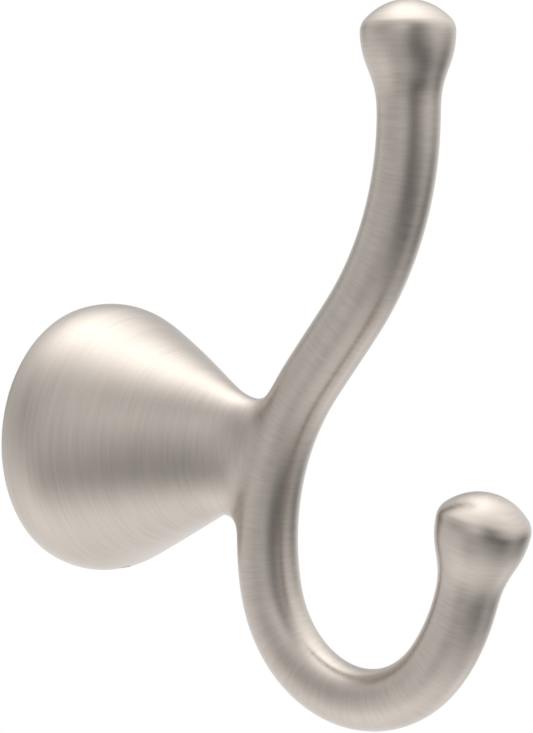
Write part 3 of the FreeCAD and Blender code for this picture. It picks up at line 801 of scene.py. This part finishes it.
# The photograph's view: bearing of the camera from the front (-Y) towards +X, its height, its
# distance from the middle and its focal length, in heights of the picture
CAMERA_BEARING = math.radians(-49.22)
CAMERA_HEIGHT = math.radians(4.88)
CAMERA_DISTANCE = 0.5946
CAMERA_FOCUS = 4.39
SENSOR = 36
# The softbox, which lights only what is matt: its place from the middle, side and power
SOFTBOX_PLACE = Vector((0.1, 0.1, 0.6))
SOFTBOX_SIDE = 0.7
SOFTBOX_WATTS = 2.8
# Light of the surroundings on what is matt
SURROUNDINGS = 0.7
TENT_RADIUS = 2.0
# The white tent around the hook: its even level, then its panels and its gaps. An optimiser fitted
# them to the photograph's reflections, and they were then merged and rounded; right_floor came out
# of a grid search. Each has its bearing from the front (-Y) towards +X and its height in degrees,
# the light it adds, less than nothing for a gap, and how narrow it is.
TENT_LEVEL = 1.25
TENT_PATCHES = {
    "top_panel": (160, 75, 1.2, 10),
    "top_glow": (80, 70, 0.7, 4),
    "front_panel": (-60, 25, 0.5, 25),
    "left_floor": (-110, -50, 0.4, 6),
    "right_floor": (75, -45, 0.6, 40),
    "left_side": (-120, 18, -0.6, 3),
    "left_gap": (-88, -33, -0.65, 12),
    "camera_stand": (-35, -20, -0.9, 8),
    "gap_above_camera": (-30, 30, -0.8, 7),
    "front_gap": (5, -30, -0.85, 12),
    "right_gap": (60, -20, -1.0, 9),
    "back_gap": (130, 20, -0.7, 10),
    "back_seam": (175, 10, -0.6, 25),
}


def bearing_way(bearing, height):
    """Unit vector at a bearing from the front (-Y) towards +X and a height."""
    return Vector((math.sin(bearing) * math.cos(height), -math.cos(bearing) * math.cos(height),
                   math.sin(height)))


class HOOK_OT_studio(bpy.types.Operator):
    """Add the floor, the light tent, the softbox above, the surroundings and the camera"""

    bl_idname = "robe_hook.studio"
    bl_label = "Studio"

    def execute(self, context):
        scene = context.scene
        add_floor(scene.hook_finish.floor)
        add_tent()
        add_softbox()
        light_world(scene)
        place_camera(scene)
        scene.view_settings.view_transform = "Standard"
        return {"FINISHED"}


def add_floor(colour):
    """Pale paper on the floor; the tent stands for it in the metal's reflections."""
    clear_selection()
    bpy.ops.mesh.primitive_circle_add(vertices=96, radius=FLOOR_RADIUS, fill_type="NGON",
                                      location=(0, MIDDLE.y, FLOOR_HEIGHT))
    floor = bpy.context.object
    floor.name = floor.data.name = "studio_floor"
    bpy.ops.object.transform_apply(location=True, rotation=True, scale=True)
    floor.data.materials.append(matt_paper(colour))
    floor.visible_glossy = False


def matt_paper(colour):
    """Rolled white paper, uncoated: it has no shine of its own and takes soft shadows."""
    material = new_material("white_paper")
    tree = material.node_tree
    paper = add_node(tree, "ShaderNodeBsdfPrincipled",
                     {"Base Color": linear(colour), "Roughness": 0.9,
                      "Specular IOR Level": 0.2})
    add_node(tree, "ShaderNodeOutputMaterial", {"Surface": paper.outputs["BSDF"]})
    return material


def add_tent():
    """Photographer's round light tent of white cloth, which only the metal's reflections show:
    bright overhead and below, darker where the camera and the room stand before it."""
    clear_selection()
    bpy.ops.mesh.primitive_uv_sphere_add(segments=48, ring_count=24, radius=TENT_RADIUS,
                                         location=MIDDLE)
    tent = bpy.context.object
    tent.name = tent.data.name = "light_tent"
    bpy.ops.object.transform_apply(location=True, rotation=True, scale=True)
    tent.data.materials.append(tent_cloth())
    tent.visible_camera = tent.visible_diffuse = tent.visible_shadow = False


def tent_cloth():
    """White cloth lit unevenly: one even level, and soft patches brighter or darker than it."""
    material = new_material("white_tent_cloth")
    tree = material.node_tree
    place = add_node(tree, "ShaderNodeTexCoord").outputs["Object"]
    way = add_node(tree, "ShaderNodeVectorMath", {0: place, 1: MIDDLE},
                   operation="SUBTRACT").outputs["Vector"]
    way = add_node(tree, "ShaderNodeVectorMath", {0: way}, operation="NORMALIZE").outputs["Vector"]
    total = TENT_LEVEL
    for name, (bearing, height, level, narrow) in TENT_PATCHES.items():
        centre = bearing_way(math.radians(bearing), math.radians(height))
        near = add_node(tree, "ShaderNodeVectorMath", {0: way, 1: centre},
                        operation="DOT_PRODUCT").outputs["Value"]
        power = add_node(tree, "ShaderNodeMath", {0: near, 1: narrow, 2: -narrow},
                         operation="MULTIPLY_ADD").outputs[0]
        patch = add_node(tree, "ShaderNodeMath", {0: power}, operation="EXPONENT").outputs[0]
        total = add_node(tree, "ShaderNodeMath", {0: patch, 1: level, 2: total},
                         operation="MULTIPLY_ADD", label=name).outputs[0]
    glow = add_node(tree, "ShaderNodeEmission", {"Color": (1, 1, 1, 1), "Strength": total})
    add_node(tree, "ShaderNodeOutputMaterial", {"Surface": glow.outputs[0]})
    material.cycles.emission_sampling = "NONE"
    return material


def add_softbox():
    """Large soft lamp above, which lights the floor and gives the hook's shadow on it."""
    clear_selection()
    bpy.ops.object.light_add(type="AREA", location=MIDDLE + SOFTBOX_PLACE)
    lamp = bpy.context.object
    lamp.name = lamp.data.name = "softbox_above"
    lamp.data.shape = "SQUARE"
    lamp.data.size = SOFTBOX_SIDE
    lamp.data.energy = SOFTBOX_WATTS
    lamp.rotation_euler = SOFTBOX_PLACE.to_track_quat("Z", "Y").to_euler()
    lamp.visible_camera = lamp.visible_glossy = False


def light_world(scene):
    """White to the camera and to mirror-like reflections; a plain dimmer light on matt things."""
    world = bpy.data.worlds.new("studio_surroundings")
    scene.world = world
    world.use_nodes = True
    tree = world.node_tree
    tree.nodes.clear()
    path = add_node(tree, "ShaderNodeLightPath").outputs
    direct = add_node(tree, "ShaderNodeMath",
                      {0: path["Is Camera Ray"], 1: path["Is Glossy Ray"]},
                      operation="MAXIMUM").outputs[0]
    clear = add_node(tree, "ShaderNodeMath",
                     {0: direct, 1: path["Is Transmission Ray"]},
                     operation="MAXIMUM").outputs[0]
    plain = add_node(tree, "ShaderNodeBackground", {"Color": (1, 1, 1, 1), "Strength": SURROUNDINGS})
    white = add_node(tree, "ShaderNodeBackground", {"Color": (1, 1, 1, 1), "Strength": 1.0})
    both = add_node(tree, "ShaderNodeMixShader",
                    {0: clear, 1: plain.outputs[0], 2: white.outputs[0]})
    add_node(tree, "ShaderNodeOutputWorld", {"Surface": both.outputs[0]})


def place_camera(scene):
    """The photograph's view: 49 degrees round to the left, 5 degrees above, from 0.59 m."""
    back = bearing_way(CAMERA_BEARING, CAMERA_HEIGHT)
    clear_selection()
    bpy.ops.object.camera_add(location=MIDDLE + back * CAMERA_DISTANCE)
    camera = bpy.context.object
    camera.name = "studio_camera"
    camera.rotation_euler = back.to_track_quat("Z", "Y").to_euler()
    camera.data.lens = SENSOR * CAMERA_FOCUS
    camera.data.clip_start = 10 * MM
    scene.camera = camera


class HOOK_PT_panel(bpy.types.Panel):
    """Lists the hook's sizes, finishes and pieces"""

    bl_label = "Robe Hook"
    bl_space_type = "VIEW_3D"
    bl_region_type = "UI"
    bl_category = "Robe Hook"

    def draw(self, context):
        layout = self.layout
        for operator in (HOOK_OT_casting, HOOK_OT_bracket, HOOK_OT_screws, HOOK_OT_studio):
            layout.operator(operator.bl_idname)
        for group in (context.scene.hook_sizes, context.scene.hook_finish):
            column = layout.column(align=True)
            for name in group.__annotations__:
                column.prop(group, name)


CLASSES = (HookSizes, HookFinish, HOOK_OT_casting, HOOK_OT_bracket, HOOK_OT_screws,
           HOOK_OT_studio, HOOK_PT_panel)


def register():
    for entry in CLASSES:
        bpy.utils.register_class(entry)
    bpy.types.Scene.hook_sizes = PointerProperty(type=HookSizes)
    bpy.types.Scene.hook_finish = PointerProperty(type=HookFinish)


def unregister():
    del bpy.types.Scene.hook_finish
    del bpy.types.Scene.hook_sizes
    for entry in reversed(CLASSES):
        bpy.utils.unregister_class(entry)


def main():
    register()
    bpy.ops.robe_hook.casting()
    bpy.ops.robe_hook.bracket()
    bpy.ops.robe_hook.screws()
    bpy.ops.robe_hook.studio()


if __name__ == "__main__":
    main()
